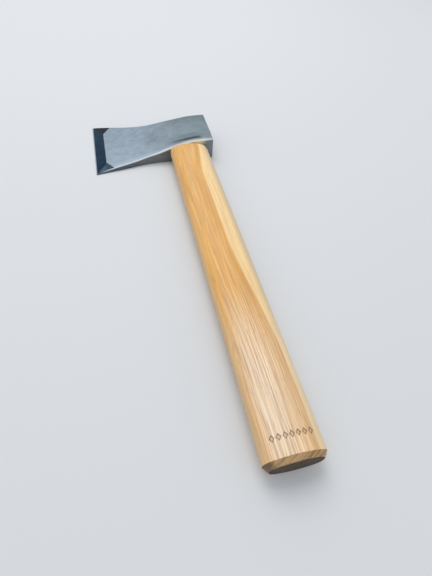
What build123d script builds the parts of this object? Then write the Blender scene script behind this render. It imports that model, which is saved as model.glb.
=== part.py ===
from build123d import *
import os
from math import hypot

# Carving hatchet, lying on the flat back of its head, in millimetres. +Z is up, the handle
# points to -Y, the cutting edge to -X and the hammer poll to +X. The origin is the middle of
# the bounding box, on the plane that the hatchet rests on.
#
# The head is a side-ground hatchet head: a flat back, a flat cheek over the eye that sweeps
# down to a thin blade, and a single bevel with two clipped corners. The handle is a straight
# flat oval with a shoulder under the head. Its tongue fills the eye, where a wooden wedge
# and two steel cross wedges spread it.

# ---- Driving dimensions ---------------------------------------------------------------
overall_length = 380.4      # butt of the handle to the toe of the edge
head_length = 118.0         # cutting edge to the poll's striking face
edge_length = 85.0          # heel to toe along the cutting edge
poll_height = 48.4          # striking face, along the handle's direction
poll_drop = 22.6            # top of the poll, below the toe
head_thickness = 20.8       # poll and eye
poll_to_handle = 25.6       # striking face to the handle's centreline

cheek_slope = 0.09          # rise of the blade's cheek where it meets the bevel
grind_thickness = 2.7       # blade thickness where the bevel starts
grind_width = 10.8          # width of the bevel
honed_width = 0.9           # fine secondary bevel along the edge
honed_thickness = 0.75      # blade thickness where the secondary bevel starts
edge_land = 0.2             # thickness left at the edge itself
toe_margin = 16.9           # straight grind line stops this far short of the toe
heel_margin = 15.3          # and this far short of the heel
toe_clip = (7.2, 10.3)      # clipped bevel corner at the toe, along X and Y
heel_clip = (8.0, 11.2)     # clipped bevel corner at the heel, along X and Y

rim_chamfer = 1.3           # bright chamfer on the cheek's edge, over the handle
fine_chamfer = 0.5          # broken corners elsewhere on the head

neck_width = 37.6           # handle's section below the shoulder
neck_thickness = 19.2
neck_radius = 7.2           # of the section's rounded ends
shoulder_length = 8.0       # the handle's rounded end, up against the head
shoulder_side_inset = 1.0   # how far it is rounded over on the narrow sides
shoulder_face_inset = 2.4   # and on the broad faces
butt_width = 38.4           # handle's section where the butt's chamfer starts
butt_thickness = 21.2
butt_radius = 8.0
butt_chamfer = 3.5          # along the handle
butt_side_inset = 2.9       # end face, in from the narrow sides
butt_face_inset = 1.2       # end face, in from the broad faces
lozenge_count = 7           # row of engraved lozenges across the broad face, near the butt
lozenge_pitch = 3.8
lozenge_width = 3.0
lozenge_height = 4.2        # along the handle
lozenge_depth = 0.25
lozenge_from_butt = 14.2    # middle of the row to the end face

eye_length = 30.0           # along X, at the waist of the eye
eye_width = 10.6            # along Z, at the waist of the eye
eye_radius = 4.6
eye_mouth_flare = 0.5       # growth per side at the handle's end of the eye
eye_top_flare = 1.2         # growth per side at the wedged end of the eye

wedge_depth = 33.0          # wooden wedge, as long as the eye
wedge_top, wedge_tip = 4.6, 1.2
steel_wedge_width = 9.0     # across the eye
steel_wedge_depth = 16.0
steel_wedge_top, steel_wedge_tip = 2.4, 0.6
steel_wedge_spread = 13.0   # between the two steel wedges

# ---- Places worked out from them ------------------------------------------------------
poll_x = head_length / 2
edge_x = -head_length / 2
grind_x = edge_x + grind_width
handle_x = poll_x - poll_to_handle
handle_height = butt_thickness / 2      # the butt just touches the resting plane

toe_y = overall_length / 2
heel_y = toe_y - edge_length
butt_y = -overall_length / 2
poll_top = toe_y - poll_drop
poll_bottom = poll_top - poll_height
eye_waist = (poll_top + poll_bottom) / 2

overshoot = 5.0             # how far cutting tools run past the work


def oval(plane, width, height, end_radius):
    """A four-centre oval: two crown arcs joined by two smaller end arcs, tangent all round."""
    end_centre = width / 2 - end_radius
    reach = height / 2 - end_radius
    crown_centre = (end_centre**2 - reach**2) / (2 * reach)
    crown_radius = height / 2 + crown_centre
    stretch = crown_radius / hypot(end_centre, crown_centre)
    x = end_centre * stretch
    y = crown_centre * stretch - crown_centre
    with BuildSketch(plane) as section:
        with BuildLine():
            ThreePointArc((-x, y), (0, height / 2), (x, y))
            ThreePointArc((x, y), (width / 2, 0), (x, -y))
            ThreePointArc((x, -y), (0, -height / 2), (-x, -y))
            ThreePointArc((-x, -y), (-width / 2, 0), (-x, y))
        make_face()
    return section.sketch


def across_handle(y):
    """Plane across the handle's centreline at a given Y, facing the butt."""
    return Plane(origin=(handle_x, y, handle_height), x_dir=(1, 0, 0), z_dir=(0, -1, 0))


# ---- Head blank: outline, cheek sweep and flat back, without the eye or the bevels -----
cheek_start = handle_x + 12.0       # where the flat of the eye begins to fall to the blade

with BuildPart() as blank:
    with BuildSketch(Plane.XY):
        with BuildLine():
            Spline(
                (poll_x, poll_top),
                (handle_x - 4, poll_top - 1.0),
                (handle_x - 30, poll_top + 4.7),
                (handle_x - 58, poll_top + 12.5),
                (edge_x, toe_y),
                tangents=[(-1, 0.0), (-1, 0.28)],
            )
            Line((edge_x, toe_y), (edge_x, heel_y))
            Spline(
                (edge_x, heel_y),
                (handle_x - 65, poll_bottom - 8.2),
                (handle_x - 40, poll_bottom - 2.8),
                (handle_x - 15, poll_bottom - 1.4),
                (poll_x, poll_bottom),
                tangents=[(1, 0.24), (1, 0.04)],
            )
            Line((poll_x, poll_bottom), (poll_x, poll_top))
        make_face()
    extrude(amount=head_thickness)
    with BuildSketch(Plane.XZ):
        with BuildLine():
            Polyline(
                (edge_x - overshoot, grind_thickness / 2),
                (edge_x - overshoot, 0),
                (poll_x + overshoot, 0),
                (poll_x + overshoot, head_thickness),
                (cheek_start, head_thickness),
            )
            Bezier(
                (cheek_start, head_thickness),
                (cheek_start - 21.9, head_thickness),
                (handle_x - 39.7, 8.6),
                (handle_x - 22.9, 7.4),
                (grind_x + 6.6, grind_thickness + 6.6 * cheek_slope),
                (grind_x, grind_thickness),
            )
            Line((grind_x, grind_thickness), (edge_x - overshoot, grind_thickness / 2))
        make_face()
    extrude(amount=overall_length, both=True, mode=Mode.INTERSECT)

# ---- Head: the blank with broken edges, the eye, three bevel facets and a honed edge ---
honed_x = edge_x + honed_width
toe_grind_end = (grind_x, toe_y - toe_margin, grind_thickness)
heel_grind_end = (grind_x, heel_y + heel_margin, grind_thickness)
toe_clip_end = (
    grind_x + toe_clip[0],
    toe_y - toe_margin + toe_clip[1],
    grind_thickness + cheek_slope * toe_clip[0],
)
heel_clip_end = (
    grind_x + heel_clip[0],
    heel_y + heel_margin - heel_clip[1],
    grind_thickness + cheek_slope * heel_clip[0],
)
honed_toe = (honed_x, toe_y, honed_thickness)
honed_heel = (honed_x, heel_y, honed_thickness)
grind_slope = (grind_thickness - honed_thickness) / (grind_x - honed_x)
grind_overlap = 3.0         # how far a grinding cut reaches behind the line where it leaves the cheek
facet_reach = 60.0


def plane_through(a, b, c):
    """Plane through three points, with its normal turned upwards."""
    normal = (Vector(b) - Vector(a)).cross(Vector(c) - Vector(a))
    if normal.Z < 0:
        normal = normal * -1
    return Plane(origin=a, x_dir=Vector(b) - Vector(a), z_dir=normal)


def corner_plane(corner, grind_end, clip_end):
    """Plane of a clipped corner, from the middle of its clip line, with X towards the corner."""
    middle = (Vector(grind_end) + Vector(clip_end)) / 2
    normal = plane_through(corner, grind_end, clip_end).z_dir
    return Plane(origin=middle, x_dir=Vector(corner) - middle, z_dir=normal)


def eye_passage():
    """The eye's oval passage along Y: narrowest at its waist and flared at both mouths."""
    flares = (
        (poll_bottom - overshoot, eye_mouth_flare),
        (eye_waist, 0.0),
        (poll_top + overshoot, eye_top_flare),
    )
    sections = [
        oval(across_handle(y), eye_length + 2 * flare, eye_width + 2 * flare, eye_radius + flare)
        for y, flare in flares
    ]
    with BuildPart() as passage:
        loft(sections, ruled=True)
    return passage.part


def cheek_rims(part, on_handle_side):
    """The blank's two long edges between its cheek and one of its side faces."""
    upper = part.edges().filter_by(lambda e: e.center().Z > grind_thickness and e.length > 2 * grind_width)
    lengthways = upper.filter_by(lambda e: abs(e.tangent_at(0.5).X) > 0.8)
    return lengthways.filter_by(lambda e: (e.center().Y < eye_waist) == on_handle_side)


eye = eye_passage()

with BuildPart() as head:
    add(blank.part)
    chamfer(cheek_rims(head, on_handle_side=True), length=rim_chamfer)
    chamfer(cheek_rims(head, on_handle_side=False), length=fine_chamfer)
    chamfer(head.faces().sort_by(Axis.X)[-1].edges(), length=fine_chamfer)
    add(eye, mode=Mode.SUBTRACT)
    with BuildSketch(Plane.XZ):
        Polygon(
            (edge_x - overshoot, edge_land),
            (edge_x, edge_land),
            (honed_x, honed_thickness),
            (grind_x + grind_overlap, grind_thickness + grind_slope * grind_overlap),
            (grind_x + grind_overlap, head_thickness),
            (edge_x - overshoot, head_thickness),
        )
    extrude(amount=overall_length, both=True, mode=Mode.SUBTRACT)
    for facet in (
        (honed_toe, toe_grind_end, toe_clip_end),
        (honed_heel, heel_grind_end, heel_clip_end),
    ):
        with BuildSketch(corner_plane(*facet)):
            with Locations((-grind_overlap, 0)):
                Rectangle(facet_reach, facet_reach, align=(Align.MIN, Align.CENTER))
        extrude(amount=head_thickness, mode=Mode.SUBTRACT)

# ---- Steel cross wedges: two alike, driven side by side across the wooden wedge ---------
with BuildPart() as steel_wedges:
    for side in (-1, 1):
        centre = side * steel_wedge_spread / 2
        with BuildSketch(across_handle(poll_top + overshoot)):
            with Locations((centre, 0)):
                Rectangle(steel_wedge_top, steel_wedge_width)
        with BuildSketch(across_handle(poll_top - steel_wedge_depth)):
            with Locations((centre, 0)):
                Rectangle(steel_wedge_tip, steel_wedge_width)
        loft()
    add(blank.part, mode=Mode.INTERSECT)

# ---- Wooden wedge: fills the kerf of the tongue from end to end of the eye --------------
with BuildPart() as kerf:
    with BuildSketch(across_handle(poll_top + overshoot)):
        Rectangle(2 * eye_length, wedge_top)
    with BuildSketch(across_handle(poll_top - wedge_depth)):
        Rectangle(2 * eye_length, wedge_tip)
    loft()

with BuildPart() as eye_wedge:
    add(kerf.part)
    add(eye, mode=Mode.INTERSECT)
    add(blank.part, mode=Mode.INTERSECT)
    add(steel_wedges.part, mode=Mode.SUBTRACT)

# ---- Handle: straight flat-oval shaft, chamfered butt, shoulder and split tongue --------
with BuildPart() as tongue:
    add(eye)
    add(blank.part, mode=Mode.INTERSECT)
    add(kerf.part, mode=Mode.SUBTRACT)
    add(steel_wedges.part, mode=Mode.SUBTRACT)

shoulder_start = poll_bottom - shoulder_length
shoulder_steps = 6
shoulder_overrun = 1.25     # rounded on past the head's side, which then cuts it off


def shoulder_section(step):
    """The handle's section at a step along its rounded end: the inset grows as the square."""
    along = shoulder_overrun * step / shoulder_steps
    thickness = neck_thickness - 2 * shoulder_face_inset * along**2
    return oval(
        across_handle(shoulder_start + shoulder_length * along),
        neck_width - 2 * shoulder_side_inset * along**2,
        thickness,
        neck_radius * thickness / neck_thickness,
    )


def shaft_ends(inset=0.0):
    """The sections where the shaft meets the butt's chamfer and the shoulder, or the same inset."""
    butt = oval(
        across_handle(butt_y + butt_chamfer),
        butt_width - 2 * inset,
        butt_thickness - 2 * inset,
        butt_radius - inset,
    )
    neck = oval(
        across_handle(shoulder_start),
        neck_width - 2 * inset,
        neck_thickness - 2 * inset,
        neck_radius - inset,
    )
    return [butt, neck]


with BuildPart() as uncut_core:
    loft(shaft_ends(inset=lozenge_depth), ruled=True)

with BuildPart() as engraving:
    with BuildSketch(Plane.XY.offset(handle_height)):
        with Locations((handle_x, butt_y + lozenge_from_butt)):
            with GridLocations(lozenge_pitch, 0, lozenge_count, 1):
                Polygon(
                    (-lozenge_width / 2, 0),
                    (0, -lozenge_height / 2),
                    (lozenge_width / 2, 0),
                    (0, lozenge_height / 2),
                )
    extrude(amount=butt_thickness)
    add(uncut_core.part, mode=Mode.SUBTRACT)

with BuildPart() as handle:
    end_face = oval(
        across_handle(butt_y),
        butt_width - 2 * butt_side_inset,
        butt_thickness - 2 * butt_face_inset,
        butt_radius,
    )
    shoulder = [shoulder_section(step) for step in range(1, shoulder_steps + 1)]
    loft([end_face, *shaft_ends(), *shoulder], ruled=True)
    add(engraving.part, mode=Mode.SUBTRACT)
    add(blank.part, mode=Mode.SUBTRACT)
    add(tongue.part)

# ---- Write one STEP per piece -----------------------------------------------------------
head.part.label = "head"
handle.part.label = "handle"
eye_wedge.part.label = "eye_wedge"
steel_wedges.part.label = "steel_wedges"

os.makedirs("parts", exist_ok=True)
export_step(head.part, "parts/head.step")
export_step(handle.part, "parts/handle.step")
export_step(eye_wedge.part, "parts/eye_wedge.step")
export_step(steel_wedges.part, "parts/steel_wedges.step")
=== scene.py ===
"""Carving hatchet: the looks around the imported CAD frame.

The four CAD nodes keep their shapes. This script gives each one a procedural material, and adds the
floor, the studio light and the camera. Everything is in the row frame: +Y runs from the handle's butt
to the head, +X from the cutting edge to the poll, +Z up from the head's flat back. Objects are in
metres, and the materials' patterns are written in millimetres of the same frame.
"""

from math import radians
from types import SimpleNamespace

import bpy
from mathutils import Matrix, Vector


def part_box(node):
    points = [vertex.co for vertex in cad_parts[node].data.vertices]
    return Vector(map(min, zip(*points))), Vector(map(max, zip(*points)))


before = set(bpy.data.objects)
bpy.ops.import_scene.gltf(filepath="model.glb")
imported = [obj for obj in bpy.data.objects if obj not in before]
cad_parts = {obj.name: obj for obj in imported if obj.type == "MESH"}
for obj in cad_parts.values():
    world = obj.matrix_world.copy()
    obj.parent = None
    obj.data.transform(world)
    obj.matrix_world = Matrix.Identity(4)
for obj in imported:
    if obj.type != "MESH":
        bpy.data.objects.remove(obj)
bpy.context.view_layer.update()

MM = 0.001
head_low, head_high = (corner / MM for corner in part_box("head"))
handle_low, handle_high = (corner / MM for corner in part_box("handle"))

# ---- Places that the patterns start from, in millimetres ---------------------------------
EDGE_X, TOE_Y = head_low.x, head_high.y
BUTT_Y = handle_low.y
HANDLE_X = (handle_low.x + handle_high.x) / 2
HANDLE_Z = (handle_low.z + handle_high.z) / 2
HANDLE_AXIS = (HANDLE_X, 0.0, HANDLE_Z)


# ---- Node helpers ------------------------------------------------------------------------
def srgb(red, green, blue):
    """A colour given as 0-255 display values, as the linear RGBA that Blender works in."""
    channels = [c / 255 for c in (red, green, blue)]
    linear = [c / 12.92 if c <= 0.04045 else ((c + 0.055) / 1.055) ** 2.4 for c in channels]
    return (*linear, 1.0)


class Graph:
    """A material's node tree and short ways to add to it. An input is a socket or a plain value."""

    def __init__(self, name):
        self.material = bpy.data.materials.new(name)
        self.material.use_nodes = True
        self.tree = self.material.node_tree
        self.tree.nodes.clear()

    def add(self, kind, inputs, **settings):
        node = self.tree.nodes.new(kind)
        for key, value in settings.items():
            setattr(node, key, value)
        for key, value in inputs.items():
            if isinstance(value, bpy.types.NodeSocket):
                self.tree.links.new(value, node.inputs[key])
            else:
                node.inputs[key].default_value = value
        return node

    def math(self, operation, a, b=0.0, c=0.0):
        return self.add("ShaderNodeMath", {0: a, 1: b, 2: c}, operation=operation).outputs[0]

    def chain(self, operation, first, *others):
        for other in others:
            first = self.math(operation, first, other)
        return first

    def total(self, *terms):
        return self.chain("ADD", *terms)

    def product(self, *factors):
        return self.chain("MULTIPLY", *factors)

    def strongest(self, *factors):
        return self.chain("MAXIMUM", *factors)

    def minus(self, a, b):
        return self.math("SUBTRACT", a, b)

    def inverse(self, factor):
        return self.minus(1.0, factor)

    def absolute(self, value):
        return self.math("ABSOLUTE", value)

    def above(self, value, limit):
        return self.math("GREATER_THAN", value, limit)

    def below(self, value, limit):
        return self.math("LESS_THAN", value, limit)

    def between(self, factor, low, high):
        """The number from low to high that lies at factor."""
        return self.math("MULTIPLY_ADD", factor, high - low, low)

    def ease(self, value, start, end, low=0.0, high=1.0):
        """low before start and high after end, with a smooth step between them."""
        inputs = {"Value": value, "From Min": start, "From Max": end, "To Min": low, "To Max": high}
        return self.add("ShaderNodeMapRange", inputs, interpolation_type="SMOOTHSTEP").outputs[0]

    def split(self, vector):
        return self.add("ShaderNodeSeparateXYZ", {0: vector}).outputs

    def join(self, x, y, z):
        return self.add("ShaderNodeCombineXYZ", {0: x, 1: y, 2: z}).outputs[0]

    def nearest(self, value, spacing):
        """How far value is from the nearest multiple of spacing."""
        along = self.math("FLOORED_MODULO", self.total(value, spacing / 2), spacing)
        return self.absolute(self.minus(along, spacing / 2))

    def stretch(self, vector, *factors):
        return self.add("ShaderNodeVectorMath", {0: vector, 1: factors}, operation="MULTIPLY").outputs[0]

    def noise(self, vector, *frequencies, detail=2.0, roughness=0.5):
        """Soft noise around 0.5, nearly all of it between 0.25 and 0.75.

        Its frequencies along X, Y and Z are in waves per millimetre, and 1 if none are given.
        """
        if frequencies:
            vector = self.stretch(vector, *frequencies)
        inputs = {"Vector": vector, "Scale": 1.0, "Detail": detail, "Roughness": roughness}
        return self.add("ShaderNodeTexNoise", inputs).outputs[0]

    def cells(self, vector, *frequencies):
        """Distance to the nearest of scattered points, and that point's own number from 0 to 1."""
        inputs = {"Vector": self.stretch(vector, *frequencies), "Scale": 1.0}
        node = self.add("ShaderNodeTexVoronoi", inputs)
        return node.outputs["Distance"], self.split(node.outputs["Color"])[0]

    def blend(self, factor, a, b):
        """Colour a where factor is 0 and colour b where it is 1."""
        return self.add("ShaderNodeMix", {0: factor, 6: a, 7: b}, data_type="RGBA").outputs[2]

    def shade(self, colour, factor):
        """colour made darker by a factor below 1, or lighter by one above it."""
        grey = self.join(factor, factor, factor)
        inputs = {0: 1.0, 6: colour, 7: grey}
        return self.add("ShaderNodeMix", inputs, data_type="RGBA", blend_type="MULTIPLY").outputs[2]

    def darken(self, colour, *amounts):
        """colour with the product of the amounts taken away from its brightness."""
        return self.shade(colour, self.inverse(self.product(*amounts)))

    def bump(self, height, depth):
        """Surface normals for a height of 0 to 1 that stands for depth in metres."""
        return self.add("ShaderNodeBump", {"Height": height, "Distance": depth}).outputs[0]

    def place(self, origin=(0.0, 0.0, 0.0)):
        """The point on the object, in millimetres from origin."""
        local = self.add("ShaderNodeTexCoord", {}).outputs["Object"]
        scaled = self.stretch(local, 1 / MM, 1 / MM, 1 / MM)
        return self.add("ShaderNodeVectorMath", {0: scaled, 1: origin}, operation="SUBTRACT").outputs[0]

    def facing(self):
        """The direction that the surface itself faces, as X, Y and Z."""
        return self.split(self.add("ShaderNodeNewGeometry", {}).outputs["True Normal"])

    def finish(self, **sockets):
        """The finished material: one glossy surface with the given sockets, as base_color=..."""
        titles = {name: name.replace("_", " ").title().replace("Ior", "IOR") for name in sockets}
        inputs = {titles[name]: value for name, value in sockets.items()}
        surface = self.add("ShaderNodeBsdfPrincipled", inputs)
        output = self.add("ShaderNodeOutputMaterial", {})
        self.tree.links.new(surface.outputs[0], output.inputs[0])
        return self.material


# ---- Wood: colours -----------------------------------------------------------------------
HEARTWOOD = srgb(225, 169, 86)
HEARTWOOD_DEEP = srgb(214, 158, 75)
HEARTWOOD_PINK = srgb(231, 182, 114)
SAPWOOD = srgb(245, 210, 151)
SAPWOOD_DULL = srgb(236, 200, 142)
# Painted sheen over paler wood: the colour that the grip's lower half is blended towards.
PALE_WOOD_SHEEN = srgb(238, 220, 194)
LINE_BROWN = srgb(194, 146, 102)
PORE = srgb(138, 92, 56)
# Painted shade on the sapwood's narrow side, and a paler heartwood edge that is partly painted highlight.
SAP_SIDE_SHADE = srgb(196, 176, 145)
HEART_SIDE_HIGHLIGHT = srgb(206, 175, 132)
BURNT = srgb(116, 78, 54)
SEALED_GOLD = srgb(176, 140, 90)
SEALED_BROWN = srgb(108, 78, 50)
SEALED_DARK = srgb(66, 48, 40)
# The end face: end grain darkened further as painted shade, and a painted shadow line along its edge.
END_BROWN = srgb(74, 62, 50)
END_DARK = srgb(26, 20, 16)
END_SHADOW_LINE = srgb(24, 17, 13)
WEDGE_PALE = srgb(205, 160, 105)
WEDGE_TAN = srgb(186, 136, 82)

# ---- Wood: where it changes, in millimetres ----------------------------------------------
# Along the handle: the Y where each change starts and where it is complete.
UNDER_HEAD = (BUTT_Y + 250, BUTT_Y + 314)
TOWARDS_BUTT = (BUTT_Y + 170, BUTT_Y + 55)
WORN = (BUTT_Y + 160, BUTT_Y + 60)
# Where the painted sheen along the grip starts and where it is complete.
PALE_SHEEN_ALONG = (BUTT_Y + 132, BUTT_Y + 48)

# Across the handle, the same: distances from its centreline towards the poll, or upwards for Z.
BORDER_LOOSENS = (-18.0, 6.0)
# Where the painted sheen fades in from the left and from the right.
PALE_SHEEN_FROM, PALE_SHEEN_TO = (-17.5, -10.5), (13.0, -5.0)
# Where the painted side shade and the heartwood's paler edge lie.
SAP_SIDE, SAP_SIDE_Z = (11.0, 16.3), (12.0, 8.0)
HEART_SIDE, HEART_SIDE_Z = (-16.0, -18.6), (8.0, 5.0)
LEFT_END = (-12.5, -16.5)

# Across the rings, the same: 0 is the heartwood's border on the crown, and sapwood is above 0.
SAPWOOD_STARTS = (-0.7, 0.8)
BAND_STARTS, BAND_ENDS = (-4.0, -2.4), (-0.4, -1.8)

BORDER_PLACE = 3.7                       # heartwood's border, to the poll's side of the centreline
HEAD_DRIFT, BUTT_DRIFT = 8.0, 12.5       # how far it drifts under the head and towards the butt
WANDER = 1.0                             # how far it strays besides
LINE_DRIFT = 0.22                        # share of the drift that the fine lines follow
RING_ACROSS, RING_DOWN = 0.57, 0.82      # how fast the yearly rings are crossed along X and down Z
RING_WIDTH = 0.95
CROWN_Z = 9.9                            # the broad face, above the handle's centreline

CHAMFER_Y = BUTT_Y + 3.5                 # where the butt's chamfer starts
CHAMFER_SLANT = 1.5                      # how far its streaks lean sideways for each mm along it
END_CROWN, END_CURVE = 9.4, 66.6         # the end face's upper edge: its crest, and how fast it falls
# A painted shadow line and a painted golden highlight along that edge.
END_SHADOW, END_SHADOW_RIGHT = (END_CROWN - 2.4, END_CROWN - 1.4), (-3.0, 4.0)
END_HIGHLIGHT, END_HIGHLIGHT_LEFT = (END_CROWN - 1.6, END_CROWN - 0.9), (3.0, -3.0)

LOZENGE_PITCH, LOZENGE_COUNT = 3.8, 7
LOZENGE_WIDTH, LOZENGE_HEIGHT = 3.0, 4.2
LOZENGE_Y = BUTT_Y + 14.2


def wood_drift(graph, place):
    """How far a point lies across the wood: from the heartwood's border, and among the fine lines.

    The border drifts sideways under the head and again towards the butt, most of all on the
    sapwood's side. The fine lines follow it a little.
    """
    u, y, _ = graph.split(place)
    to_head = graph.ease(y, *UNDER_HEAD, 0.0, HEAD_DRIFT)
    to_butt = graph.ease(y, *TOWARDS_BUTT, 0.0, BUTT_DRIFT)
    to_butt_at_border = graph.product(to_butt, graph.ease(u, *BORDER_LOOSENS, 0.15, 1.0))
    wander = graph.between(graph.noise(place, 0.05, 0.010, 0.05, detail=1.0), WANDER, -WANDER)
    border = graph.total(to_head, to_butt_at_border, BORDER_PLACE, wander)
    lines = graph.total(graph.product(graph.total(to_head, to_butt), LINE_DRIFT), wander)
    return graph.minus(u, border), graph.minus(u, lines)


def wood_places(graph):
    """What the wood's patterns are drawn from: the place on the handle, the rings and the grain."""
    place = graph.place(HANDLE_AXIS)
    u, y, z = graph.split(place)
    across, across_lines = wood_drift(graph, place)
    depth = graph.product(graph.minus(CROWN_Z, z), RING_DOWN)
    ring = graph.total(graph.product(across, RING_ACROSS), depth)
    grain = graph.join(across, y, z)
    lines = graph.join(across_lines, y, z)
    blush = graph.noise(grain, 0.30, 0.016, 0.30)

    # Each yearly ring starts with a porous, darker line and fades into dense wood.
    line_ring = graph.total(graph.product(across_lines, RING_ACROSS), depth)
    year = graph.total(graph.product(line_ring, 1 / RING_WIDTH), graph.product(blush, 1.6))
    porous = graph.math("POWER", graph.inverse(graph.math("FRACT", year)), 4.0)
    return SimpleNamespace(
        u=u,
        y=y,
        z=z,
        wear_and_glint=graph.ease(y, *WORN),
        ring=ring,
        is_sap=graph.ease(ring, *SAPWOOD_STARTS),
        porous=porous,
        tone=graph.noise(grain, 0.20, 0.006, 0.20, detail=3.0, roughness=0.6),
        blush=blush,
        lines=lines,
        line=graph.noise(lines, 1.25, 0.022, 1.25, detail=3.0, roughness=0.65),
        thread=graph.noise(lines, 1.6, 0.020, 1.6, detail=1.0),
        fibre=graph.noise(lines, 5.0, 0.07, 5.0, detail=3.0, roughness=0.7),
    )


def heart_and_sap(graph, at):
    """Golden heartwood, with a deeper band along its border, and pale sapwood beyond it."""
    heart = graph.blend(graph.ease(at.tone, 0.35, 0.65), HEARTWOOD, HEARTWOOD_DEEP)
    heart = graph.blend(graph.ease(at.blush, 0.50, 0.72, 0.0, 0.60), heart, HEARTWOOD_PINK)
    band = graph.product(graph.ease(at.ring, *BAND_STARTS), graph.ease(at.ring, *BAND_ENDS), 0.60)
    heart = graph.blend(band, heart, HEARTWOOD_DEEP)
    sap = graph.blend(graph.ease(at.tone, 0.35, 0.70), SAPWOOD, SAPWOOD_DULL)
    return graph.blend(at.is_sap, heart, sap)


def pale_wood_and_sheen(graph, at, colour):
    """colour made paler and pinker along the lower half of the grip, most of all in its middle: paler wood
    with a painted sheen over it.
    """
    from_left = graph.ease(at.u, *PALE_SHEEN_FROM, 0.40, 1.0)
    from_right = graph.ease(at.u, *PALE_SHEEN_TO, 0.42, 1.0)
    along = graph.ease(at.y, *PALE_SHEEN_ALONG, 0.0, 0.90)
    among_lines = graph.ease(at.line, 0.70, 0.40, 0.62, 1.0)
    return graph.blend(graph.product(along, from_left, from_right, among_lines), colour, PALE_WOOD_SHEEN)


def lined(graph, at, colour):
    """colour with its rings, lines and fibres, stronger in heartwood and where the grip has wear."""
    coarse = graph.between(at.wear_and_glint, 0.90, 1.20)
    colour = graph.darken(colour, at.porous, graph.between(at.is_sap, 0.20, 0.09), coarse)
    strength = graph.product(coarse, graph.between(at.is_sap, 1.0, 0.55))
    dark = graph.total(
        graph.ease(at.line, 0.54, 0.34, 0.0, 0.30),
        graph.ease(at.thread, 0.50, 0.30, 0.0, 0.46),
    )
    light = graph.total(
        graph.ease(at.line, 0.48, 0.68, 0.0, 0.08),
        graph.ease(at.thread, 0.50, 0.68, 0.0, 0.14),
    )
    colour = graph.blend(graph.product(dark, strength), colour, LINE_BROWN)
    colour = graph.shade(colour, graph.total(1.0, graph.product(light, strength)))
    return graph.shade(colour, graph.ease(at.fibre, 0.25, 0.75, 0.88, 1.10))


def open_pores(graph, at):
    """Short dashes along the grain, most of them in the porous lines."""
    distance, choice = graph.cells(at.lines, 1.7, 0.13, 1.7)
    return graph.product(
        graph.ease(distance, 0.38, 0.12),
        graph.ease(choice, 0.25, 0.60),
        graph.between(at.porous, 0.45, 1.0),
        graph.between(at.is_sap, 1.0, 0.40),
        graph.between(at.wear_and_glint, 0.35, 1.0),
    )


def shaded_wood_sides(graph, at, colour):
    """colour with painted shade, greyer, widely on the sapwood's narrow side, and a thin paler edge on the
    heartwood's side that is partly painted highlight and partly paler wood.
    """
    sap_side = graph.product(
        graph.ease(at.u, *SAP_SIDE),
        graph.ease(at.z, *SAP_SIDE_Z),
        graph.between(at.wear_and_glint, 0.78, 0.35),
    )
    heart_side = graph.product(graph.ease(at.u, *HEART_SIDE), graph.ease(at.z, *HEART_SIDE_Z), 0.60)
    # Painted shade on the sapwood side, and the paler heartwood edge that is partly painted highlight.
    colour = graph.blend(sap_side, colour, SAP_SIDE_SHADE)
    return graph.blend(heart_side, colour, HEART_SIDE_HIGHLIGHT)


def wood(graph, at):
    """Straight-grained wood, half heartwood and half pale sapwood: its colour and height."""
    colour = lined(graph, at, pale_wood_and_sheen(graph, at, heart_and_sap(graph, at)))
    pore = open_pores(graph, at)
    colour = graph.blend(graph.product(pore, 0.55), colour, PORE)
    raised = graph.total(0.6, graph.product(at.fibre, 0.4))
    height = graph.total(raised, graph.product(pore, -0.6), graph.product(at.porous, -0.2))
    return shaded_wood_sides(graph, at, colour), height


def lozenge_marks(graph, at):
    """The burnt lines of the engraved row: dark round each lozenge's border, lighter inside."""
    sideways = graph.product(graph.nearest(at.u, LOZENGE_PITCH), 2 / LOZENGE_WIDTH)
    lengthways = graph.product(graph.absolute(graph.minus(at.y, LOZENGE_Y)), 2 / LOZENGE_HEIGHT)
    outwards = graph.total(sideways, lengthways)
    in_row = graph.below(graph.absolute(at.u), LOZENGE_PITCH * LOZENGE_COUNT / 2)
    border = graph.product(graph.ease(outwards, 0.35, 0.75, 0.30, 1.0), graph.ease(outwards, 1.12, 1.0))
    return graph.product(border, in_row, graph.above(at.z, 0.0), 0.70)


def sealed_chamfer(graph, at):
    """The butt's chamfer, where the rings show as slanting streaks, darker at its left end."""
    slant = graph.math("MULTIPLY_ADD", graph.minus(at.y, CHAMFER_Y), -CHAMFER_SLANT, at.u)
    streaks = graph.join(graph.product(slant, 0.95), graph.product(at.u, 0.06), graph.product(at.z, 0.25))
    streak = graph.noise(streaks, detail=2.0, roughness=0.6)
    colour = graph.blend(graph.ease(streak, 0.30, 0.62), SEALED_BROWN, SEALED_GOLD)
    return graph.blend(graph.ease(at.u, *LEFT_END, 0.0, 0.80), colour, SEALED_DARK)


def end_face(graph, at):
    """The end grain, darker than the wood and darkened further as painted shade, with a painted line along
    its upper edge: shadow, darkest on the right, and a golden highlight on the left.
    """
    layers = graph.join(graph.product(at.u, 0.25), at.y, graph.product(at.z, 0.9))
    colour = graph.blend(graph.ease(graph.noise(layers, detail=3.0), 0.35, 0.65), END_DARK, END_BROWN)
    arc_height = graph.math("MULTIPLY_ADD", graph.product(at.u, at.u), 1 / END_CURVE, at.z)
    # A painted shadow line on the right, and a painted golden highlight on the left.
    shadow = graph.product(graph.ease(arc_height, *END_SHADOW), graph.ease(at.u, *END_SHADOW_RIGHT))
    highlight = graph.product(graph.ease(arc_height, *END_HIGHLIGHT), graph.ease(at.u, *END_HIGHLIGHT_LEFT), 0.8)
    # The chamfer's gold colour serves here as the painted highlight.
    return graph.blend(highlight, graph.blend(shadow, colour, END_SHADOW_LINE), SEALED_GOLD)


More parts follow.
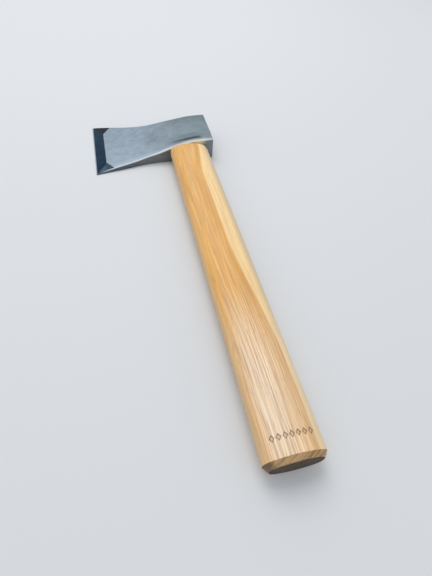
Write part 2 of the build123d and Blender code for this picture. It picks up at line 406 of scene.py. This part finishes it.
def handle_material():
    """Oiled handle wood, burnt in the engraving, and darker where the butt cuts across the grain, partly as
    painted shade.
    """
    graph = Graph("handle_wood")
    at = wood_places(graph)
    colour, height = wood(graph, at)
    colour = graph.blend(lozenge_marks(graph, at), colour, BURNT)

    past_chamfer = graph.ease(at.y, CHAMFER_Y + 0.1, CHAMFER_Y - 0.1)
    is_end = graph.product(graph.ease(graph.absolute(graph.facing()["Y"]), 0.80, 0.97), past_chamfer)
    colour = graph.blend(graph.product(past_chamfer, 0.92), colour, sealed_chamfer(graph, at))
    colour = graph.blend(graph.product(is_end, 0.92), colour, end_face(graph, at))
    return graph.finish(
        base_color=colour,
        roughness=graph.strongest(graph.ease(height, 0.2, 1.0, 0.60, 0.44), graph.product(is_end, 0.95)),
        normal=graph.bump(height, 0.08 * MM),
        specular_ior_level=0.45,
        coat_weight=0.12,
        coat_roughness=0.35,
    )


def wedge_wood_material():
    """The eye wedge: plain pale hardwood with fine straight grain."""
    graph = Graph("wedge_wood")
    place = graph.place(HANDLE_AXIS)
    fibre = graph.noise(place, 4.0, 0.3, 6.0, detail=3.0, roughness=0.7)
    cloud = graph.noise(place, 0.25, 0.05, 0.25)
    colour = graph.blend(graph.ease(cloud, 0.35, 0.65), WEDGE_PALE, WEDGE_TAN)
    colour = graph.shade(colour, graph.ease(fibre, 0.25, 0.75, 0.78, 1.04))
    return graph.finish(base_color=colour, roughness=0.62, normal=graph.bump(fibre, 0.06 * MM))


# ---- Steel: colours ----------------------------------------------------------------------
SATIN = (0.262, 0.318, 0.372, 1.0)
# The cheek towards the poll, in painted shade.
SATIN_POLL_SHADE = (0.190, 0.238, 0.260, 1.0)
# Painted highlight on the rim, and its warm painted reflection of the handle.
RIM_HIGHLIGHT = (0.78, 0.80, 0.82, 1.0)
RIM_WARM_REFLECTION = (0.80, 0.77, 0.69, 1.0)
# The side faces in painted shade: darker towards the blade, lighter towards the poll.
SIDE = (0.205, 0.22, 0.225, 1.0)
SIDE_POLL = (0.245, 0.258, 0.272, 1.0)
SIDE_DARK = (0.12, 0.15, 0.17, 1.0)
# The bevel's dark colours are a painted reflection; the toe's facet is in painted shade, the heel's
# lighter.
BEVEL = (0.007, 0.032, 0.066, 1.0)
BEVEL_TOE = (0.0, 0.006, 0.018, 1.0)
BEVEL_HEEL = (0.052, 0.088, 0.118, 1.0)
HONED = (0.45, 0.50, 0.54, 1.0)
# A thin line of painted shade on the cheek beside the rim.
TRACE_SHADE = (0.042, 0.052, 0.055, 1.0)
MILD_DARK = (0.30, 0.30, 0.31, 1.0)
MILD_LIGHT = (0.42, 0.42, 0.43, 1.0)

# ---- Steel: where it changes, in millimetres ---------------------------------------------
GRIND_X = EDGE_X + 10.8                  # straight line where the bevel starts
CORNER_REACH = 9.0                       # clipped bevel corners end this far behind it
HONED_WIDTH = 0.9                        # fine bevel along the cutting edge
CORNER_TURN = 0.012                      # a clipped corner faces at least this far to its side

NEAR_SIDE_BLADE = (0.222, TOE_Y - 72.2)  # the head's side over the handle: its slope and its Y at X=0
NEAR_SIDE_POLL = (0.030, TOE_Y - 73.0)   # the same, from the eye to the poll
NEAR_SIDE_BEND = 2.7                     # how softly one runs into the other

# Along the head: the X where each change starts and where it is complete. What lies over the
# handle has one pair to its left and one to its right.
# Painted shade on the cheek, from here towards the poll.
CHEEK_TO_POLL = (0.0, 40.0)
# Painted shade on the side faces, lighter to the poll and darker to the blade.
SIDE_TO_POLL = (30.0, 48.0)
SIDE_TO_BLADE = (0.0, -34.0)
# Where the rim's painted highlight ends towards the blade and fades towards the poll.
RIM_TO_BLADE = (16.0, -12.0)
RIM_TO_POLL = (50.0, 57.0)
# Painted shade over the rim's lower part towards the blade.
RIM_SHADE_ENDS = (-12.0, 12.0)
# DARK_ marks painted shade on the cheek over the eye.
DARK_LEFT, DARK_RIGHT = (HANDLE_X - 25.5, HANDLE_X - 7.5), (HANDLE_X + 18.5, HANDLE_X + 6.5)
# WARM_ marks the rim's painted warm reflection of the handle.
WARM_LEFT, WARM_RIGHT = (HANDLE_X - 25.5, HANDLE_X - 13.5), (HANDLE_X + 20.5, HANDLE_X + 12.5)
# TRACE_ marks the thin line of painted shade.
TRACE_LEFT, TRACE_RIGHT = (HANDLE_X - 21.5, HANDLE_X + 0.5), (HANDLE_X + 16.5, HANDLE_X + 10.5)
# BAND_ marks a painted warm reflection of the handle on the side face.
BAND_LEFT, BAND_RIGHT = (HANDLE_X - 21.5, HANDLE_X - 11.5), (HANDLE_X + 19.5, HANDLE_X + 12.5)

# Across the head: the Y, in the same way.
TO_FAR_EDGE = (TOE_Y - 40, TOE_Y - 30)
# The painted reflection band's depth and height.
BAND_DEPTH = (TOE_Y - 65, TOE_Y - 68)
BAND_HEIGHT = (head_high.z - 6.2, head_high.z - 3.8)     # this one is along Z
HOLLOW_REACH = (11.0, 1.0)                               # and this is a distance either side of X=0

# In from the head's side over the handle: the distance, in the same way.
# The next two: painted shade towards the rim, and in the cheek's hollow.
DARK_INSET = (18.0, 12.0)
HOLLOW_INSET = (14.0, 24.0)
# The next three: how far the rim's painted highlight reaches onto the cheek.
RIM_INSET = (12.0, 9.0)
GLOW_INSET = (9.0, 4.0)
RIM_GLINT_INSET = (4.4, 0.8)
TRACE_INSET = (8.2, 6.1)                 # the middle of the trace, at its left end and further right
TRACE_FADE = (2.6, 0.8)                  # how far from there it fades in


def head_places(graph):
    """What the head's patterns are drawn from: the place on it, its facing and soft noise."""
    place = graph.place()
    x, y, z = graph.split(place)
    facing = graph.facing()

    # How far a point lies in from the head's side face over the handle.
    blade_side = graph.math("MULTIPLY_ADD", x, *NEAR_SIDE_BLADE)
    poll_side = graph.math("MULTIPLY_ADD", x, *NEAR_SIDE_POLL)
    inset = graph.minus(y, graph.math("SMOOTH_MIN", blade_side, poll_side, NEAR_SIDE_BEND))
    return SimpleNamespace(
        x=x,
        y=y,
        z=z,
        inset=inset,
        facing_y=facing["Y"],
        facing_z=facing["Z"],
        on_cheek=graph.above(facing["Z"], 0.3),
        scratch=graph.noise(place, 0.30, 6.0, 6.0, detail=4.0, roughness=0.7),
        brush=graph.noise(place, 0.09, 1.0, 1.0, detail=3.0, roughness=0.6),
        blotch=graph.noise(place, 0.13, 0.16, 0.13, detail=4.0, roughness=0.6),
    )


def satin_faces(graph, at):
    """Ground faces: scratches along X, blotches and soft clouds, darker towards the poll as painted shade.

    Painted shade makes the cheek a little darker over the eye, towards both long edges, and in its hollow.
    """
    # Painted shade towards the poll.
    satin = graph.blend(graph.ease(at.x, *CHEEK_TO_POLL), SATIN, SATIN_POLL_SHADE)
    satin = graph.shade(satin, graph.ease(at.blotch, 0.30, 0.70, 0.91, 1.08))
    satin = graph.shade(satin, graph.ease(at.brush, 0.30, 0.70, 0.93, 1.06))
    satin = graph.shade(satin, graph.ease(at.scratch, 0.25, 0.75, 0.92, 1.07))

    # Painted shade towards the cheek's long edges, over the eye.
    near_edge = graph.product(graph.ease(at.inset, *DARK_INSET, 0.0, 0.22), graph.ease(at.x, *DARK_RIGHT))
    far_edge = graph.ease(at.y, *TO_FAR_EDGE, 0.0, 0.15)
    over_eye = graph.ease(at.x, *DARK_LEFT)
    satin = graph.darken(satin, graph.total(near_edge, far_edge), over_eye, at.on_cheek)
    # Painted shade in the cheek's hollow.
    return graph.darken(
        satin,
        graph.ease(graph.absolute(at.x), *HOLLOW_REACH),
        graph.ease(at.inset, *HOLLOW_INSET),
        graph.inverse(graph.ease(at.y, *TO_FAR_EDGE)),
        at.on_cheek,
        0.16,
    )


def rim_highlight(graph, at, colour):
    """The rim over the handle: painted highlight on its broken edge and a little way onto the cheek, warm
    over the handle as its painted reflection.
    """
    to_blade = graph.ease(at.x, *RIM_TO_BLADE)
    # Painted highlight on the flat cheek beside the rim, brightest in a band next to its edge.
    glow = graph.product(graph.ease(at.inset, *GLOW_INSET), to_blade, 0.08)
    wear_and_glint = graph.product(graph.ease(at.inset, *RIM_GLINT_INSET), graph.between(to_blade, 0.31, 0.22))
    on_broken_edge = graph.ease(at.facing_z, 0.90, 0.80)
    bright = graph.product(
        graph.strongest(graph.total(glow, wear_and_glint), on_broken_edge),
        at.on_cheek,
        graph.ease(at.inset, *RIM_INSET),
        graph.ease(at.x, *RIM_TO_POLL, 1.0, 0.72),
    )
    # Over the handle the painted highlight turns warm, as a painted reflection of the wood.
    over_handle = graph.product(graph.ease(at.x, *WARM_LEFT), graph.ease(at.x, *WARM_RIGHT))
    return graph.blend(bright, colour, graph.blend(over_handle, RIM_HIGHLIGHT, RIM_WARM_REFLECTION))


def shade_trace(graph, at, colour):
    """A thin line of painted shade on the cheek, beside the rim and over the handle."""
    middle = graph.ease(at.x, *TRACE_LEFT, *TRACE_INSET)
    trace = graph.product(
        graph.ease(at.x, *TRACE_LEFT),
        graph.ease(at.x, *TRACE_RIGHT),
        graph.ease(graph.absolute(graph.minus(at.inset, middle)), *TRACE_FADE),
        graph.between(at.blotch, 0.75, 1.15),
        at.on_cheek,
    )
    return graph.blend(trace, colour, TRACE_SHADE)


def shaded_steel_sides(graph, at, colour):
    """The long side faces in painted shade, darker towards the blade, with a painted warm reflection band
    under the rim, and painted shade on the rim's lower part towards the blade.
    """
    # The side faces' colours are painted shade, darkest towards the blade.
    side = graph.blend(graph.ease(at.x, *SIDE_TO_POLL), SIDE, SIDE_POLL)
    side = graph.blend(graph.ease(at.x, *SIDE_TO_BLADE), side, SIDE_DARK)
    side = graph.shade(side, graph.ease(at.brush, 0.30, 0.70, 0.85, 1.12))
    # A painted warm reflection of the handle on the side face under the rim.
    band = graph.product(
        graph.ease(at.z, *BAND_HEIGHT),
        graph.ease(at.x, *BAND_LEFT),
        graph.ease(at.x, *BAND_RIGHT),
        graph.ease(at.y, *BAND_DEPTH),
        0.90,
    )
    side = graph.blend(band, side, RIM_WARM_REFLECTION)

    # Painted shade over the rim's lower part towards the blade.
    rim_shade_from = graph.ease(at.x, *RIM_SHADE_ENDS, 0.9, 0.0)
    rim_shade_to = graph.ease(at.x, *RIM_SHADE_ENDS, 0.6, -0.3)
    faces_sideways = graph.ease(graph.absolute(at.facing_y), 0.85, 0.95)
    is_side = graph.strongest(faces_sideways, graph.ease(at.inset, rim_shade_from, rim_shade_to))
    return graph.blend(is_side, colour, side)


def bevel_facets(graph, at, colour):
    """The polished facets, dark as a painted reflection, told apart by the way they face, and where they
    are: the toe's in darker painted shade, the heel's lighter.
    """
    faces_up = graph.above(at.facing_z, 0.8)
    near_corner = graph.below(at.x, GRIND_X + CORNER_REACH)
    bevel = graph.product(graph.below(at.x, GRIND_X), faces_up)
    toe = graph.product(graph.above(at.facing_y, CORNER_TURN), near_corner, faces_up)
    heel = graph.product(graph.below(at.facing_y, -CORNER_TURN), near_corner, faces_up)
    smear = graph.ease(at.blotch, 0.30, 0.70, 0.70, 1.35)
    # Painted dark reflection on the bevel, painted shade on the toe's facet, and lighter on the heel's.
    for facet, steel in ((bevel, BEVEL), (toe, BEVEL_TOE), (heel, BEVEL_HEEL)):
        colour = graph.blend(facet, colour, graph.shade(steel, smear))
    honed = graph.product(graph.below(at.x, EDGE_X + HONED_WIDTH), faces_up)
    return graph.blend(honed, colour, HONED), graph.strongest(bevel, toe, heel)


def head_material():
    """Forged steel: satin-ground faces, a rim with painted highlight, a polished bevel dark as a painted
    reflection, and a honed edge.
    """
    graph = Graph("head_steel")
    at = head_places(graph)
    colour = rim_highlight(graph, at, satin_faces(graph, at))
    colour = shaded_steel_sides(graph, at, shade_trace(graph, at, colour))
    colour, is_bevel = bevel_facets(graph, at, colour)
    rough = graph.ease(at.scratch, 0.2, 0.8, 0.34, 0.50)
    return graph.finish(
        base_color=colour,
        metallic=1.0,
        roughness=graph.math("MULTIPLY_ADD", is_bevel, graph.minus(0.22, rough), rough),
        normal=graph.bump(graph.product(at.scratch, graph.inverse(is_bevel)), 0.03 * MM),
    )


def wedge_steel_material():
    """The cross wedges: plain hammered mild steel."""
    graph = Graph("wedge_steel")
    dents = graph.noise(graph.place(), 0.8, 0.8, 0.8, detail=3.0)
    return graph.finish(
        base_color=graph.blend(graph.ease(dents, 0.35, 0.65), MILD_DARK, MILD_LIGHT),
        metallic=1.0,
        roughness=graph.ease(dents, 0.3, 0.7, 0.34, 0.52),
        normal=graph.bump(dents, 0.10 * MM),
    )


def dress(node, material):
    """Gives a CAD node its material."""
    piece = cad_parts[node]
    piece.data.materials.clear()
    piece.data.materials.append(material)


dress("head", head_material())
dress("handle", handle_material())
dress("eye_wedge", wedge_wood_material())
dress("steel_wedges", wedge_steel_material())


# ---- Floor, light and camera, in metres --------------------------------------------------
FLOOR_SIZE = 8.0
FLOOR_DROP = 0.0002                      # just under the head's flat back
FLOOR_COLOUR = (0.66, 0.67, 0.68, 1.0)

SKY_COLOUR, SKY_STRENGTH = (0.93, 0.96, 1.0, 1.0), 0.80
KEY_PLACE = (-0.05, 0.74, 1.3)           # behind the head and high above it
KEY_SIZE, KEY_POWER = 1.0, 9.0

CAMERA_FROM_BUTT = (-0.0706, -0.0470, 0.2373)                # from under the middle of the butt
CAMERA_TURN, CAMERA_TILT, CAMERA_ROLL = -17.70, 39.22, 5.40  # in degrees
CAMERA_LENS, SENSOR_HEIGHT = 25.0, 36.0                      # in millimetres, as Blender has them


def add_floor():
    mesh = bpy.data.meshes.new("floor")
    half = FLOOR_SIZE / 2
    corners = [(x, y, -FLOOR_DROP) for x, y in ((-half, -half), (half, -half), (half, half), (-half, half))]
    mesh.from_pydata(corners, [], [(0, 1, 2, 3)])
    floor = bpy.data.objects.new("floor", mesh)
    bpy.context.scene.collection.objects.link(floor)
    graph = Graph("floor_paint")
    mesh.materials.append(graph.finish(base_color=FLOOR_COLOUR, roughness=0.7))


def add_sky():
    world = bpy.data.worlds.new("studio")
    bpy.context.scene.world = world
    world.use_nodes = True
    background = world.node_tree.nodes["Background"]
    background.inputs["Color"].default_value = SKY_COLOUR
    background.inputs["Strength"].default_value = SKY_STRENGTH


def add_key_light():
    """A large square area light that points at the middle of the hatchet."""
    light = bpy.data.lights.new("key", "AREA")
    light.size = KEY_SIZE
    light.energy = KEY_POWER
    lamp = bpy.data.objects.new("key", light)
    lamp.location = KEY_PLACE
    lamp.rotation_euler = (-Vector(KEY_PLACE)).to_track_quat("-Z", "Y").to_euler()
    bpy.context.scene.collection.objects.link(lamp)


def add_camera():
    """A short phone lens held over the butt, looking down along the handle to the head."""
    camera = bpy.data.cameras.new("camera")
    camera.lens = CAMERA_LENS
    camera.sensor_fit = "VERTICAL"
    camera.sensor_height = SENSOR_HEIGHT
    holder = bpy.data.objects.new("camera", camera)
    butt = Vector((HANDLE_X * MM, BUTT_Y * MM, 0.0))
    turn = Matrix.Rotation(radians(CAMERA_TURN), 4, "Z")
    tilt = Matrix.Rotation(radians(CAMERA_TILT), 4, "X")
    roll = Matrix.Rotation(radians(CAMERA_ROLL), 4, "Z")
    holder.matrix_world = Matrix.Translation(butt + Vector(CAMERA_FROM_BUTT)) @ turn @ tilt @ roll
    bpy.context.scene.collection.objects.link(holder)
    bpy.context.scene.camera = holder


add_floor()
add_sky()
add_key_light()
add_camera()
bpy.context.scene.view_settings.view_transform = "Standard"
